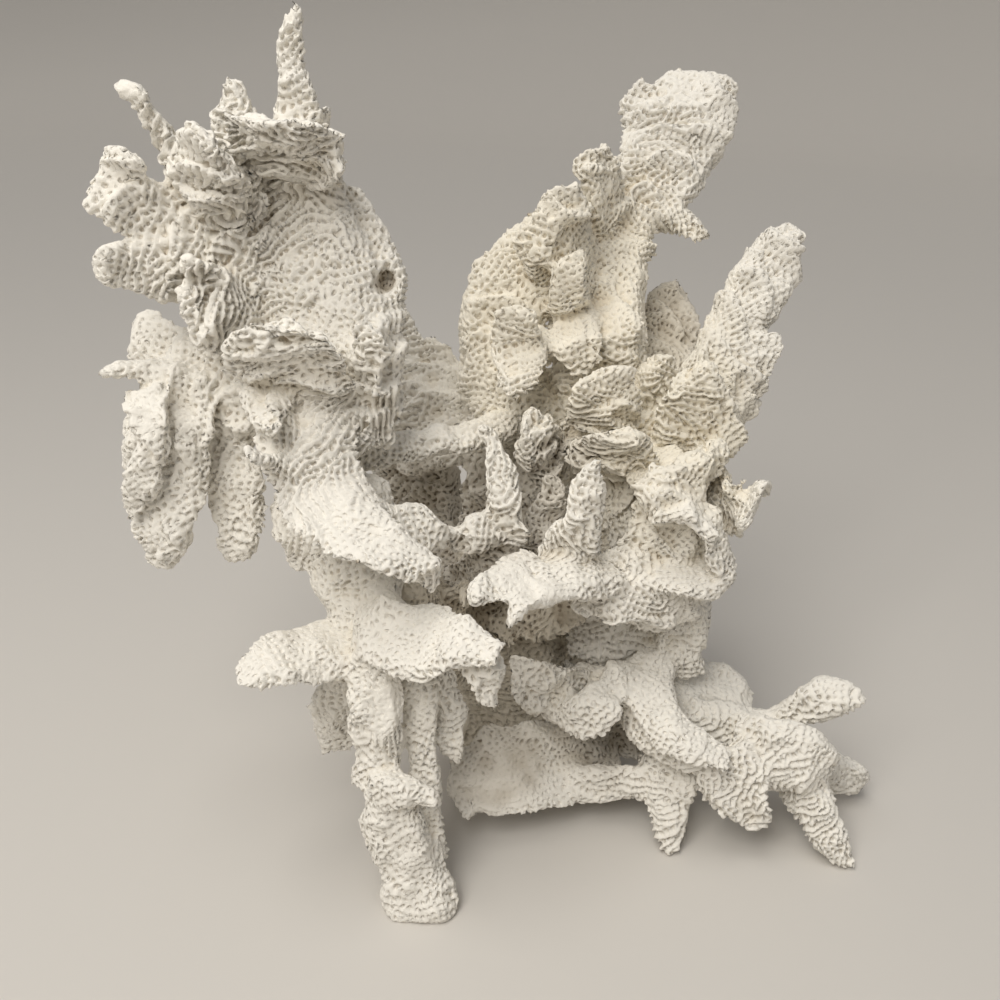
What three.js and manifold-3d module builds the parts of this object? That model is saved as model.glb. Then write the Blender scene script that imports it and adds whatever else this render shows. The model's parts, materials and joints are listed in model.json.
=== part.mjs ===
// A bleached skeleton of lettuce coral, about 305 mm tall: a short stump, cut off flat where it grew, and
// the branches that fork from it. Every branch is a bunch of fronds, which are ribbed, curling blades.
// Millimetres, +Z up, +X to the right and +Y to the back. The origin is the middle of the stump's cut.
import * as THREE from "three";
import { mergeVertices } from "three/addons/utils/BufferGeometryUtils.js";
import Module from "manifold-3d";

const wasm = await Module();
wasm.setup();

// Driving dimensions
const RING_STEP = 12; // length of a frond between two growth lines
const MOST_RINGS = 5;
const COLUMNS = 8; // points round a frond's section
const NARROW = 18; // a frond narrower than this has a section of fewer points
const NARROW_COLUMNS = 6;
const ROOT_THICKNESS = 9;
const RIM_THICKNESS = 5;
const BLUNT_ACROSS = 0.9; // below 1, the section is a flat blade with a blunt rim
const BLUNT_THROUGH = 0.4;
const TIP_NARROWING = 0.15; // share of its width that a frond loses at its tip
const TIP_ROUNDING = 0.22; // how far a tip bulges, in widths
const RIB = 0.5; // height of the growth lines
const RIM_WAVE = 2.2; // how far the rim waves out of the blade's plane
const RAGGED = 1.1; // how far a point strays
const GAP = 1; // clear space where two pieces of the colony meet
const CUT_Z = 0;
const HOLE_WIDTH = 4.5; // the hole near the left crown's right rim
const HOLE_HEIGHT = 6;
const HOLE_AT = [-43, -30, 220];
const THINNING = [0.25, 0.5, 0.8]; // how far a vertex that is taken out may move the surface, in rounds
const SMALLEST_FACE = 0.3;

const CORAL_WHITE = 0xe4ddce;
const CORAL_GREY = 0xb9ab94;

// Which way the broad side of a frond looks
const FRONT = [0, -1, 0.1];
const UP = [0, -0.35, 0.94];
const FRONT_UP = [0, -0.75, 0.65];
const FRONT_DOWN = [0, -0.75, -0.65];
const LEFT = [-0.8, -0.6, 0.1];
const RIGHT = [0.8, -0.6, 0.1];
const BACK = [0, 1, 0.1];
const RIM_RIGHT = [0.3, -0.95, 0.1];
const TONGUE_FACE = [0.15, -0.5, 0.85];
const HOOD_FACE = [0.1, -0.55, 0.83];

const vector = (p) => new THREE.Vector3(...p);

// A value given at each point of the spine, read anywhere along it.
function along(values, t) {
  const place = t * (values.length - 1);
  const i = Math.min(Math.floor(place), values.length - 2);
  return THREE.MathUtils.lerp(values[i], values[i + 1], place - i);
}

// A number from -1 to 1 that is always the same for the same place and salt.
function stray(point, salt) {
  const s = Math.sin(point.x * 12.9898 + point.y * 78.233 + point.z * 37.719 + salt * 4.581) * 43758.5453;
  return 2 * (s - Math.floor(s)) - 1;
}

// One frond: a capped cylinder whose rings are laid along the spine and flattened into a blade.
// spine and widths have one entry for each control point; face is the way its broad side looks.
function frond(spine, widths, face = FRONT, { thick = [ROOT_THICKNESS, RIM_THICKNESS], cup = 0 } = {}) {
  return { spine, widths, face, thick, cup };
}

function frondSolid({ spine, widths, face, thick, cup }, grow) {
  const curve = new THREE.CatmullRomCurve3(spine.map(vector), false, "centripetal");
  const rings = THREE.MathUtils.clamp(Math.round(curve.getLength() / RING_STEP), 2, MOST_RINGS);
  const columns = Math.max(...widths) < NARROW ? NARROW_COLUMNS : COLUMNS;
  const blank = new THREE.CylinderGeometry(1, 1, 1, columns, rings);
  const place = blank.getAttribute("position");
  const point = new THREE.Vector3();
  const facing = vector(face).normalize();
  const seed = vector(spine[0]).add(vector(spine.at(-1)));
  const phase = Math.PI * stray(seed, 1);
  for (let i = 0; i < place.count; i++) {
    point.fromBufferAttribute(place, i);
    const t = THREE.MathUtils.clamp(point.y + 0.5, 0, 1);
    const ring = Math.round(t * rings);
    const centre = curve.getPoint(t);
    const tangent = curve.getTangent(t);
    const across = tangent.clone().cross(facing).normalize();
    const through = across.clone().cross(tangent);
    const round = Math.hypot(point.x, point.z);
    const c = round > 0.5 ? point.x / round : 0;
    const s = round > 0.5 ? point.z / round : 0;
    const tip = THREE.MathUtils.smoothstep(t, 0.7, 1);
    const width = along(widths, t) * (1 - TIP_NARROWING * tip);
    const depth = along(thick, t) * (1 - 0.25 * tip);
    const rib = ring % 2 ? RIB : -RIB;
    const u = Math.sign(c) * Math.abs(c) ** BLUNT_ACROSS;
    const v = Math.sign(s) * Math.abs(s) ** BLUNT_THROUGH;
    const wave = RIM_WAVE * Math.sin(phase + 2.3 * ring + 3 * Math.sign(c)) * u * u;
    const halfWidth = width / 2 + grow + 0.6 * rib * Math.abs(u);
    const halfDepth = depth / 2 + grow + rib * 0.5;
    centre.addScaledVector(across, u * halfWidth);
    centre.addScaledVector(through, v * halfDepth + cup * width * u * u + wave);
    if (round < 0.5) {
      const out = t > 0.5 ? TIP_ROUNDING * width + grow : -grow;
      centre.addScaledVector(tangent, out);
    } else {
      centre.addScaledVector(tangent, (t > 0.99 ? grow : 0) - (t < 0.01 ? grow : 0));
      const at = new THREE.Vector3(Math.round(10 * c), ring, Math.round(10 * s)).add(seed);
      centre.addScaledVector(across, RAGGED * stray(at, 2) * Math.abs(u));
      centre.addScaledVector(through, 0.5 * RAGGED * stray(at, 3));
      centre.addScaledVector(tangent, RAGGED * stray(at, 4) * (t > 0.01 ? 1 : 0));
    }
    place.setXYZ(i, centre.x, centre.y, centre.z);
  }
  return solid(blank);
}

// A closed three.js geometry as a solid that can be joined and cut.
function solid(geometry) {
  geometry.deleteAttribute("normal");
  geometry.deleteAttribute("uv");
  const merged = mergeVertices(geometry, 1e-4);
  const made = new wasm.Manifold(
    new wasm.Mesh({
      numProp: 3,
      vertProperties: merged.getAttribute("position").array,
      triVerts: new Uint32Array(merged.index.array),
    }),
  );
  return made;
}

function joined(fronds, grow = 0) {
  return fronds.map((f) => frondSolid(f, grow)).reduce((whole, next) => whole.add(next));
}

// The stump that the colony grew on, with the bases of its branches. It stands on its flat cut.
const core = [
  frond(
    [[12, 8, -12], [10, 4, 30], [0, -6, 76], [-8, -14, 104]],
    [76, 62, 46, 26],
    FRONT,
    { thick: [62, 50, 38, 20] },
  ),
  frond(
    [[24, 6, 20], [42, 8, 70], [48, 6, 118], [40, 6, 156]],
    [44, 44, 42, 30],
    FRONT,
    { thick: [34, 30, 24, 18] },
  ),
  frond([[-4, -4, 50], [-26, -32, 80], [-42, -50, 104]], [40, 38, 34], FRONT, { thick: [34, 28, 24] }),
  frond([[2, -20, 86], [16, -34, 84], [30, -36, 92]], [24, 22, 16], FRONT_UP),
  frond([[-12, -24, 92], [-8, -44, 104], [-14, -58, 106]], [20, 18, 10], UP),
];

// The neck that carries the left crown, with a fold and a lobe that hang from it.
const leftNeck = [
  frond(
    [[-44, -62, 96], [-51, -60, 110], [-52, -54, 124], [-56, -48, 148]],
    [28, 34, 34, 38],
    FRONT,
    { thick: [24, 22, 20, 18] },
  ),
  frond([[-52, -54, 124], [-60, -62, 117], [-59, -66, 106]], [24, 18, 14], LEFT),
  frond([[-66, -46, 152], [-74, -51, 139], [-73, -54, 130], [-70, -56, 120]], [22, 23, 23, 14], FRONT),
];

// The left crown: a broad sheet, spikes and fins on its top, lobes on its left and shelves across its face.
const leftCrown = [
  frond(
    [[-58, -46, 160], [-66, -44, 187], [-70, -38, 213], [-72, -32, 236], [-72, -27, 256]],
    [35, 54, 56, 46, 32],
    FRONT,
    { thick: [18, 18, 15, 12, 10] },
  ),
  frond(
    [[-48, -44, 170], [-46, -36, 200], [-47, -28, 224], [-58, -24, 247]],
    [16, 18, 20, 16],
    RIM_RIGHT,
    { thick: [16, 13, 10, 8] },
  ),
  // spikes and fins
  frond(
    [[-70, -27, 252], [-73, -28, 271], [-72, -30, 280], [-74, -31, 289], [-75, -34, 304]],
    [27, 21, 15, 9, 5],
    FRONT,
    { thick: [12, 10, 7, 6, 5] },
  ),
  frond([[-88, -36, 256], [-90, -38, 274], [-89, -40, 284]], [24, 15, 7], FRONT, { thick: [9, 5] }),
  frond([[-102, -44, 250], [-111, -47, 269], [-117, -50, 279]], [15, 9, 5], FRONT, { thick: [8, 4] }),
  // the ribbed shelf under them
  frond([[-73, -26, 248], [-71, -46, 263], [-67, -63, 274]], [28, 41, 28], FRONT_DOWN, { cup: -0.08 }),
  frond([[-69, -32, 256], [-58, -48, 262], [-51, -54, 263]], [16, 14, 7], FRONT),
  // the arm and its lobes
  frond(
    [[-84, -36, 220], [-106, -45, 229], [-119, -51, 234]],
    [40, 33, 24],
    FRONT,
    { thick: [16, 14, 12] },
  ),
  frond(
    [[-95, -44, 240], [-96, -56, 255], [-95, -61, 263], [-92, -65, 270]],
    [17, 28, 28, 15],
    FRONT_UP,
    { cup: -0.1 },
  ),
  frond([[-92, -36, 232], [-91, -40, 254], [-89, -40, 268]], [22, 20, 18], FRONT),
  frond([[-110, -48, 236], [-122, -56, 252], [-118, -61, 263]], [20, 20, 14], FRONT),
  frond([[-110, -50, 244], [-124, -60, 249], [-131, -63, 249]], [20, 18, 12], FRONT),
  frond([[-100, -46, 226], [-117, -60, 228], [-127, -67, 230]], [24, 23, 16], FRONT),
  frond([[-84, -40, 208], [-95, -57, 212], [-102, -67, 214]], [28, 31, 20], LEFT, { cup: 0.08 }),
  frond([[-96, -52, 218], [-102, -62, 229], [-105, -66, 233]], [14, 7, 4], FRONT, { thick: [7, 4] }),
  // shelves across the face
  frond([[-76, -40, 176], [-72, -60, 197], [-69, -74, 213]], [32, 43, 33], FRONT_DOWN, { cup: 0.07 }),
  frond([[-50, -40, 180], [-46, -54, 199], [-45, -58, 211]], [18, 19, 15], FRONT_UP),
  frond([[-80, -46, 187], [-79, -66, 182], [-76, -77, 179]], [26, 17, 5], UP),
];

const leftLobes = [
  // the small lobe and the spike at the top of the curtain
  frond(
    [[-72, -44, 178], [-103, -45, 186], [-117, -47, 190]],
    [34, 30, 24],
    FRONT,
    { thick: [16, 12, 9] },
  ),
  frond([[-106, -46, 186], [-122, -56, 193], [-132, -63, 194]], [18, 11, 4], UP),
  frond([[-102, -38, 188], [-122, -41, 196], [-131, -39, 198]], [22, 18, 13], FRONT),
  // the curtain, with a ridge down its front
  frond(
    [[-112, -50, 188], [-115, -58, 172], [-117, -64, 152], [-117, -68, 135], [-120, -68, 124]],
    [32, 26, 33, 28, 12],
    FRONT,
    { thick: [13, 11, 9, 7] },
  ),
  frond(
    [[-120, -60, 187], [-116, -69, 176], [-120, -74, 162], [-125, -74, 147]],
    [14, 11, 14, 10],
    FRONT,
  ),
  // the lobe behind it
  frond(
    [[-98, -42, 180], [-100, -46, 163], [-97, -52, 145], [-95, -56, 122]],
    [22, 20, 24, 14],
    FRONT,
    { thick: [12, 10, 7] },
  ),
];

const frontTongue = [
  frond(
    [[-62, -47, 186], [-67, -62, 169], [-60, -73, 159], [-52, -82, 150], [-39, -90, 147], [-26, -92, 140]],
    [22, 37, 34, 30, 24, 18],
    TONGUE_FACE,
    { thick: [12, 9, 8, 7, 7] },
  ),
  frond([[-66, -62, 162], [-77, -80, 170], [-81, -89, 175]], [18, 12, 4], UP, { thick: [8, 4] }),
  frond([[-34, -84, 144], [-25, -87, 137], [-25, -86, 129]], [14, 16, 12], FRONT),
  frond(
    [[-54, -73, 156], [-40, -70, 144], [-30, -62, 140], [-19, -57, 135]],
    [20, 17, 17, 12],
    FRONT_UP,
  ),
];

// The front leg: a thick ridge from the neck to its cut foot, with a hood, leaves and rubble beside it.
const frontLeg = [
  // the ridge that runs down to the foot, and its crest
  frond(
    [[-35, -72, 115], [-41, -82, 101], [-42, -87, 83], [-40, -90, 67], [-40, -94, 50]],
    [20, 20, 19, 18, 21],
    FRONT,
    { thick: [20, 15, 14, 15] },
  ),
  frond(
    [[-36, -95, 50], [-32, -98, 28], [-25, -101, 11], [-23, -103, -6], [-22, -104, -20]],
    [20, 25, 29, 28, 27],
    FRONT,
    { thick: [15, 16, 18, 19] },
  ),
  frond([[-41, -97, 54], [-30, -102, 54], [-18, -102, 50]], [13, 12, 9], FRONT, { thick: [11, 8] }),
  frond([[-46, -62, 112], [-42, -72, 108], [-39, -78, 96]], [28, 26, 18], FRONT, { thick: [20, 14] }),
  // the smooth sheet in its shelter
  frond(
    [[-28, -68, 104], [-26, -76, 78], [-25, -84, 54], [-21, -90, 32], [-18, -94, 14]],
    [17, 16, 15, 14, 10],
    FRONT,
    { thick: [9, 8] },
  ),
  // hood
  frond(
    [[-38, -78, 107], [-30, -86, 109], [-21, -92, 110], [-10, -98, 115], [1, -104, 119]],
    [24, 30, 29, 21, 12],
    HOOD_FACE,
    { thick: [11, 8, 6] },
  ),
  frond([[-10, -94, 114], [-2, -99, 104], [2, -97, 93]], [19, 13, 6], FRONT, { thick: [9, 5] }),
  // leaves
  frond(
    [[-44, -66, 96], [-62, -82, 98], [-72, -92, 102], [-80, -100, 103], [-85, -105, 102]],
    [24, 30, 28, 19, 10],
    UP,
    { thick: [10, 7, 6] },
  ),
  frond([[-42, -82, 98], [-54, -76, 84], [-60, -70, 60], [-60, -67, 43]], [14, 16, 18, 10], FRONT),
  // rubble
  frond([[-26, -66, 90], [-17, -70, 72], [-15, -74, 58], [-16, -75, 49]], [13, 14, 11, 8], FRONT),
];

// The right arm, low and spreading, with the fingers that it stands on.
const rightArm = [
  // the trunk, out to its end lobe
  frond(
    [[30, -8, 30], [62, -24, 30], [95, -36, 36], [121, -44, 38]],
    [46, 34, 32, 28],
    FRONT,
    { thick: [28, 22, 18, 16] },
  ),
  frond(
    [[100, -48, 43], [112, -56, 43], [125, -60, 42], [137, -56, 38]],
    [24, 30, 31, 18],
    FRONT,
    { thick: [18, 16, 11] },
  ),
  // the low plate on its left and the rims beside it
  frond(
    [[53, -32, 20], [31, -44, 24], [12, -54, 26], [-4, -60, 26], [-13, -62, 21]],
    [32, 35, 40, 36, 20],
    FRONT_UP,
    { thick: [13, 9, 7], cup: 0.12 },
  ),
  frond(
    [[26, -46, 20], [44, -53, 20], [56, -54, 23], [67, -54, 22]],
    [14, 18, 17, 17],
    FRONT,
    { thick: [10, 8] },
  ),
  frond(
    [[74, -46, 34], [75, -58, 22], [75, -66, 10], [75, -70, 0]],
    [27, 22, 15, 7],
    FRONT,
    { thick: [14, 10, 7] },
  ),
  // the bowl, the lobe under it and the crest to its right
  frond(
    [[44, -30, 50], [28, -44, 60], [15, -52, 71], [10, -54, 77]],
    [34, 30, 24, 14],
    FRONT,
    { thick: [11, 7, 5], cup: 0.14 },
  ),
  frond(
    [[25, -46, 54], [36, -57, 57], [49, -59, 60]],
    [14, 19, 19],
    FRONT,
    { thick: [12, 9], cup: -0.1 },
  ),
  frond(
    [[66, -34, 60], [46, -48, 65], [42, -57, 61], [45, -60, 52]],
    [19, 18, 15, 10],
    FRONT_UP,
    { thick: [10, 7] },
  ),
  // the bright rim that winds forward, with the terraces under it
  frond(
    [[66, -28, 68], [65, -48, 60], [70, -59, 56], [79, -64, 52], [92, -67, 48]],
    [20, 21, 20, 19, 12],
    UP,
    { thick: [10, 8, 7] },
  ),
  frond(
    [[60, -40, 50], [68, -52, 48], [78, -58, 44], [92, -59, 40]],
    [22, 20, 18, 16],
    FRONT,
    { thick: [18, 14] },
  ),
  // the level plate at the back
  frond(
    [[62, -16, 52], [84, -20, 49], [100, -22, 47], [111, -22, 47]],
    [34, 36, 34, 20],
    UP,
    { thick: [14, 10, 8] },
  ),
  // the fingers of its end
  frond(
    [[91, -58, 44], [98, -64, 33], [103, -68, 24], [108, -70, 15]],
    [25, 29, 20, 9],
    FRONT,
    { thick: [12, 9, 6], cup: 0.1 },
  ),
  frond(
    [[116, -40, 40], [126, -42, 55], [134, -44, 62], [143, -44, 63], [150, -44, 63]],
    [16, 15, 20, 13, 6],
    FRONT_UP,
    { thick: [11, 8, 6] },
  ),
  frond(
    [[122, -46, 30], [142, -36, 17], [156, -32, 14], [166, -29, 8]],
    [26, 22, 21, 10],
    FRONT,
    { thick: [16, 12, 8] },
  ),
  frond(
    [[124, -52, 32], [134, -64, 17], [141, -69, 8], [147, -71, 1]],
    [20, 17, 14, 8],
    FRONT,
    { thick: [14, 11, 8] },
  ),
];

// The bright shelf that looks up, the blade behind it and the rim to its right.
const rightShelf = [
  // the level plate, the blade that stands on it and the rib that carries it
  frond(
    [[44, -42, 115], [26, -57, 120], [12, -67, 122], [0, -75, 125], [-10, -83, 126]],
    [22, 25, 29, 20, 8],
    UP,
    { thick: [10, 8, 6] },
  ),
  frond([[14, -68, 122], [8, -82, 121], [8, -89, 118]], [17, 10, 5], UP, { thick: [8, 5] }),
  frond(
    [[26, -47, 122], [29, -52, 136], [31, -55, 150], [31, -57, 164]],
    [28, 17, 15, 8],
    FRONT,
    { thick: [11, 8, 6] },
  ),
  frond([[85, -14, 86], [62, -30, 93], [42, -42, 102], [30, -52, 112]], [28, 24, 19, 14], FRONT_UP),
];

// The fold to the right of the shelf: two blades that make an S, a comb-like fan and a ribbed underside.
const rightFold = [
  // the stem
  frond([[68, 2, 144], [75, -4, 112], [76, -6, 86]], [30, 34, 34], FRONT, { thick: [18, 16] }),
  frond(
    [[74, -10, 102], [76, -24, 84], [78, -28, 72], [80, -28, 60]],
    [30, 25, 20, 18],
    FRONT,
    { thick: [18, 14, 12, 10] },
  ),
  // its upper rim, which winds to the right and back to the left
  frond(
    [[52, -42, 156], [59, -46, 152], [68, -43, 154], [77, -32, 155], [80, -12, 150]],
    [16, 14, 17, 20, 24],
    FRONT,
    { thick: [8, 8, 9, 12] },
  ),
  frond([[66, -8, 146], [60, -30, 148], [57, -47, 147]], [26, 22, 14], UP, { thick: [14, 10, 8] }),
  frond(
    [[56, -46, 146], [69, -48, 145], [78, -48, 138], [83, -46, 127], [89, -44, 117]],
    [17, 19, 19, 17, 10],
    UP,
    { thick: [9, 7, 6] },
  ),
  // its lower rim
  frond(
    [[88, -42, 117], [80, -46, 114], [70, -48, 115], [59, -48, 115]],
    [12, 18, 18, 14],
    UP,
    { thick: [9, 7] },
  ),
  frond([[76, -8, 118], [77, -26, 116], [78, -42, 115]], [30, 26, 20], UP, { thick: [14, 10, 8] }),
  // the wall inside the bend, the slope that runs down to the shelf and the band below
  frond([[58, -38, 131], [70, -38, 129], [82, -34, 127]], [25, 23, 20], FRONT, { thick: [9, 9] }),
  frond([[59, -32, 146], [56, -38, 130], [50, -43, 117]], [9, 15, 22], FRONT, { thick: [8, 7] }),
  frond(
    [[34, -49, 112], [49, -50, 108], [62, -46, 104], [80, -32, 98]],
    [18, 22, 23, 20],
    FRONT,
    { thick: [11, 10] },
  ),
  frond([[54, -12, 92], [52, -22, 76], [51, -23, 62]], [42, 42, 44], FRONT, { thick: [12, 8, 7] }),
  // the comb-edged fan
  frond(
    [[76, -10, 132], [86, -28, 138], [94, -36, 140], [97, -42, 152]],
    [34, 34, 33, 13],
    RIGHT,
    { thick: [12, 8, 6] },
  ),
];

const rightCluster = [
  frond([[28, 6, 148], [50, 6, 152], [78, 2, 154]], [28, 29, 26], FRONT, { thick: [20, 18] }),
  frond([[40, 2, 152], [38, -14, 174], [34, -15, 184]], [30, 33, 20], FRONT),
  frond([[46, -2, 136], [42, -25, 155], [40, -36, 167]], [31, 35, 26], FRONT_DOWN),
  frond([[48, -2, 148], [50, -14, 130], [52, -14, 112]], [26, 20, 18], FRONT_DOWN),
  frond([[62, 6, 152], [61, 3, 177], [61, 2, 188]], [18, 19, 12], FRONT),
  frond([[78, 2, 146], [75, -12, 170], [73, -12, 187]], [35, 34, 21], FRONT),
  frond([[76, -2, 152], [88, -12, 160], [94, -13, 161]], [20, 19, 11], FRONT),
  frond([[26, 0, 136], [15, -22, 158], [9, -29, 169]], [20, 28, 14], FRONT_UP),
];

const rightFinger = [
  frond(
    [[78, 6, 152], [91, 16, 185], [97, 24, 203], [106, 31, 217], [110, 35, 227]],
    [36, 33, 25, 26, 23],
    FRONT,
    { thick: [18, 16, 14, 13, 11] },
  ),
  frond([[102, 28, 212], [111, 33, 230], [110, 34, 235]], [18, 18, 11], FRONT),
  frond([[98, 12, 160], [105, 13, 186], [104, 12, 194]], [12, 13, 10], FRONT),
  frond([[68, 8, 150], [70, 34, 176], [70, 50, 195], [71, 55, 203]], [30, 29, 27, 18], FRONT),
  frond([[60, 10, 134], [78, 10, 152]], [40, 32], FRONT, { thick: [26, 20] }),
];

const rightCrown = [
  // the stem and its head
  frond(
    [[40, 6, 150], [37, 18, 192], [39, 32, 213], [42, 43, 230], [54, 54, 247]],
    [42, 42, 38, 32, 38],
    FRONT,
    { thick: [20, 16, 14, 13] },
  ),
  frond(
    [[50, 50, 236], [63, 60, 256], [69, 68, 275], [66, 74, 286]],
    [32, 45, 48, 28],
    FRONT,
    { thick: [15, 14, 11, 8] },
  ),
  frond([[76, 62, 258], [86, 70, 277], [88, 73, 286]], [20, 16, 8], FRONT),
  frond([[56, 60, 258], [50, 67, 275], [53, 70, 284]], [18, 15, 11], FRONT),
  frond([[50, 50, 238], [64, 50, 235], [80, 45, 229]], [13, 12, 9], FRONT, { thick: [9, 7] }),
  // the knob and the shelf on its left
  frond([[42, 40, 228], [33, 26, 250], [29, 22, 260]], [24, 25, 16], FRONT_UP),
  frond([[33, 28, 212], [19, 8, 232], [17, 2, 247]], [26, 34, 18], FRONT_UP),
  frond([[22, 20, 210], [6, 6, 229], [2, 4, 232]], [20, 13, 9], FRONT),
  // the left flank
  frond(
    [[8, 8, 150], [-3, 10, 176], [-3, 15, 192], [2, 18, 208], [13, 20, 221], [22, 24, 231]],
    [42, 38, 37, 37, 36, 28],
    FRONT,
    { thick: [18, 14, 12, 10, 8] },
  ),
  // lobes that crowd its front
  frond([[8, 6, 180], [3, -12, 196], [2, -15, 207]], [22, 22, 18], FRONT),
  frond([[6, 4, 194], [5, -16, 185], [8, -21, 177]], [22, 24, 15], FRONT_UP),
  frond([[28, 18, 198], [21, 1, 212], [21, -3, 224]], [18, 16, 11], FRONT),
  frond([[26, 14, 200], [27, -4, 192], [31, -7, 184]], [20, 22, 16], FRONT),
  frond([[38, 18, 202], [43, 6, 193], [48, 3, 182]], [20, 22, 13], FRONT),
];

// A bar that bridges the hollow between the crowns, and the finger that stands in front of it.
const centreArch = [
  frond(
    [[-56, -32, 154], [-38, -26, 157], [-24, -20, 156], [-10, -12, 155], [8, 4, 161]],
    [16, 15, 14, 15, 19],
    FRONT_UP,
    { thick: [12, 10, 10, 12] },
  ),
];

const centreFinger = [
  frond(
    [[-8, -16, 94], [-2, -36, 115], [1, -41, 135], [1, -38, 149], [-7, -30, 166]],
    [28, 20, 15, 13, 9],
    FRONT,
    { thick: [16, 14, 12, 11, 9] },
  ),
  frond([[-20, -50, 129], [-5, -49, 131], [9, -45, 130]], [13, 16, 12], FRONT),
  frond([[-2, -12, 92], [14, -22, 112], [18, -26, 127], [21, -28, 144]], [18, 18, 17, 12], FRONT),
];

const backBranch = [
  frond(
    [[-12, 14, 60], [-36, 34, 100], [-44, 42, 140], [-62, 46, 184], [-76, 42, 224]],
    [44, 40, 40, 42, 30],
    BACK,
    { thick: [26, 22, 18, 14, 10] },
  ),
  // the wall behind the hollow
  frond([[4, 6, 76], [4, 14, 117], [2, 20, 152]], [42, 46, 46], FRONT),
  frond([[-26, 16, 130], [-34, 32, 158], [-38, 40, 175]], [38, 44, 30], FRONT),
  frond([[-50, 46, 130], [-80, 52, 150], [-98, 46, 166]], [34, 34, 22], BACK),
  frond([[-58, 46, 170], [-88, 40, 196], [-104, 26, 212]], [32, 28, 16], BACK),
  frond([[-40, 44, 110], [-52, 74, 130], [-60, 92, 146]], [36, 38, 26], UP),
  frond([[-56, 48, 160], [-62, 72, 184], [-62, 84, 204]], [32, 32, 20], UP),
];

const backFoot = [
  frond(
    [[8, 20, 50], [16, 56, 34], [20, 84, 10], [21, 92, -6]],
    [44, 42, 32, 28],
    BACK,
    { thick: [24, 20, 18, 16] },
  ),
  frond([[12, 50, 40], [-18, 74, 44], [-38, 86, 40]], [34, 30, 18], UP),
  frond([[20, 52, 40], [48, 70, 52], [70, 80, 60]], [34, 30, 20], UP),
  frond(
    [[22, 40, 50], [36, 44, 84], [44, 46, 110], [64, 76, 146]],
    [38, 36, 34, 22],
    BACK,
    { thick: [20, 18, 14, 8] },
  ),
  frond([[30, 40, 72], [40, 60, 92], [44, 84, 104]], [34, 34, 24], UP),
];

// In the order in which they are fitted: a later piece is cut back where it meets an earlier one.
const pieces = {
  core,
  left_neck: leftNeck,
  left_crown: leftCrown,
  front_leg: frontLeg,
  right_arm: rightArm,
  right_crown: rightCrown,
  left_lobes: leftLobes,
  front_tongue: frontTongue,
  right_shelf: rightShelf,
  right_fold: rightFold,
  right_cluster: rightCluster,
  right_finger: rightFinger,
  centre_arch: centreArch,
  centre_finger: centreFinger,
  back_branch: backBranch,
  back_foot: backFoot,
};

// A small hole bored from front to back through the left crown.
function rimHole() {
  const bore = new THREE.CylinderGeometry(0.5, 0.5, 50, 6);
  bore.scale(HOLE_WIDTH, 1, HOLE_HEIGHT);
  bore.translate(...HOLE_AT);
  return solid(bore);
}

function largestBody(shape) {
  return shape.decompose().reduce((a, b) => (a.volume() > b.volume() ? a : b));
}

// Takes out the vertices that hardly shape the surface. A vertex is slid onto a neighbour when that neighbour
// lies within the allowed distance of every plane that met at the vertex or that it has taken over before.
function thinned(shape) {
  const { vertProperties, triVerts } = shape.getMesh();
  const points = [];
  for (let i = 0; i < vertProperties.length; i += 3) {
    points.push(new THREE.Vector3().fromArray(vertProperties, i));
  }
  const faces = [];
  for (let i = 0; i < triVerts.length; i += 3) {
    faces.push([triVerts[i], triVerts[i + 1], triVerts[i + 2]]);
  }
  const around = points.map(() => new Set());
  const planes = points.map(() => []);
  faces.forEach((face, f) => {
    const plane = new THREE.Plane().setFromCoplanarPoints(...face.map((v) => points[v]));
    for (const v of face) {
      around[v].add(f);
      planes[v].push(plane);
    }
  });
  const neighbours = (v) => new Set([...around[v]].flatMap((f) => faces[f]).filter((w) => w !== v));
  const normal = ([a, b, c]) => new THREE.Vector3().crossVectors(b.clone().sub(a), c.clone().sub(a));
  const turnsOver = (v, u) =>
    [...around[v]].some((f) => {
      if (faces[f].includes(u)) return false;
      const before = normal(faces[f].map((w) => points[w]));
      const after = normal(faces[f].map((w) => points[w === v ? u : w]));
      return after.length() < SMALLEST_FACE || before.dot(after) < 0.5 * before.length() * after.length();
    });
  for (const allowed of THINNING) {
    for (let v = 0; v < points.length; v++) {
      if (!around[v].size) continue;
      const near = neighbours(v);
      const off = (u) => Math.max(...planes[v].map((plane) => Math.abs(plane.distanceToPoint(points[u]))));
      const choices = [...near].map((u) => [off(u), u]).sort((a, b) => a[0] - b[0]);
      for (const [distance, u] of choices) {
        if (distance > allowed) break;
        if ([...neighbours(u)].filter((w) => near.has(w)).length !== 2 || turnsOver(v, u)) continue;
        for (const f of around[v]) {
          if (faces[f].includes(u)) {
            for (const w of faces[f]) if (w !== v) around[w].delete(f);
            faces[f] = null;
          } else {
            faces[f] = faces[f].map((w) => (w === v ? u : w));
            around[u].add(f);
          }
        }
        around[v].clear();
        planes[u].push(...planes[v]);
        break;
      }
    }
  }
  const corners = faces.filter(Boolean).flat().flatMap((v) => points[v].toArray());
  const geometry = new THREE.BufferGeometry();
  geometry.setAttribute("position", new THREE.Float32BufferAttribute(corners, 3));
  return mergeVertices(geometry, 1e-5);
}

const white = new THREE.MeshStandardMaterial({ color: CORAL_WHITE, roughness: 0.85, metalness: 0 });
const grey = new THREE.MeshStandardMaterial({ color: CORAL_GREY, roughness: 0.9, metalness: 0 });

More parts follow.
